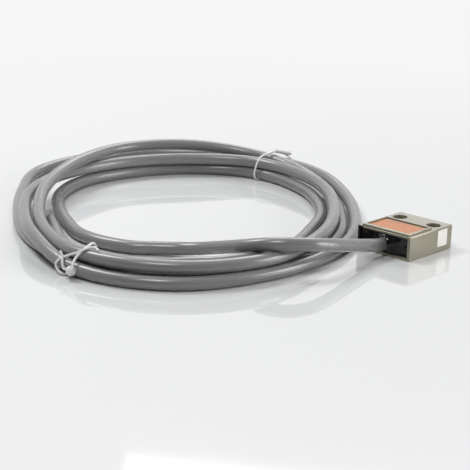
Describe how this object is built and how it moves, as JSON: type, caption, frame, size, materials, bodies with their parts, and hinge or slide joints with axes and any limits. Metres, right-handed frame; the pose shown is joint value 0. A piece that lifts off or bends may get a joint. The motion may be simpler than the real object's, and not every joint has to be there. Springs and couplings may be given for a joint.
{
  "type": "microswitch",
  "caption": "Enclosed miniature limit switch in a die-cast case with a sprung pin plunger and a coiled, tied length of round cable.",
  "frame": {"origin": "middle of the case's flat back face, which lies on the surface", "axes": "+Y along the plunger axis out of the far end, -Y to the cable end, +X towards the side with the sticker, +Z out of the face with the nameplate"},
  "size_m": [0.3105, 0.2767, 0.0245],
  "materials": {
    "cast_metal": "satin",
    "copper_plate": "satin",
    "white_label": "matte",
    "black_resin": "gloss",
    "steel": "satin",
    "seal_rubber": "matte",
    "brass": "satin",
    "dark_moulding": "matte",
    "button_moulding": "matte",
    "spring_bronze": "satin",
    "silver": "satin",
    "wire_insulation": "satin",
    "cable_sheath": "satin",
    "tie_cover": "satin"
  },
  "bodies": {
    "case": {"housing": "cast_metal", "nameplate": "copper_plate", "side_label": "white_label", "potting_compound": "black_resin", "plunger_bushing": "steel", "plunger_seal": "seal_rubber", "spring_washer": "steel", "return_spring": "steel", "switch_base": "dark_moulding", "switch_cover": "dark_moulding", "fixed_contact_no": "silver", "fixed_contact_nc": "silver", "terminal_common": "brass", "terminal_no": "brass", "terminal_nc": "brass", "base_pin_left": "steel", "base_pin_right": "steel", "conductor_common": "wire_insulation", "conductor_no": "wire_insulation", "conductor_nc": "wire_insulation", "cord_lead": "cable_sheath", "cord_coil": "cable_sheath", "tie_front": "tie_cover", "tie_rear": "tie_cover"},
    "plunger": {"plunger": "steel", "overtravel_spring": "steel"},
    "pusher": {"pusher": "brass", "switch_button": "button_moulding"},
    "blade": {"moving_blade": "spring_bronze", "moving_contact": "silver"}
  },
  "joints": [
    {"name": "plunger_slide", "type": "slide", "parent": "case", "child": "plunger", "axis": [0, -1, 0], "range_m": [0, 0.0045], "stiffness_N_per_m": 1000, "springref_m": -0.004, "deforming": ["return_spring", "overtravel_spring"]},
    {"name": "pusher_slide", "type": "slide", "parent": "case", "child": "pusher", "axis": [0, -1, 0], "range_m": [0, 0.0006]},
    {"name": "blade_snap", "type": "hinge", "parent": "case", "child": "blade", "pos_m": [-0.0076, -0.0055, 0.0075], "axis": [0, 0, 1], "range_deg": [-3.2, 0]}
  ],
  "couplings": [
    {"joint": "pusher_slide", "follows": "plunger_slide", "ratio": 0.12},
    {"joint": "blade_snap", "follows": "plunger_slide", "rad_per_m": -11.6}
  ]
}
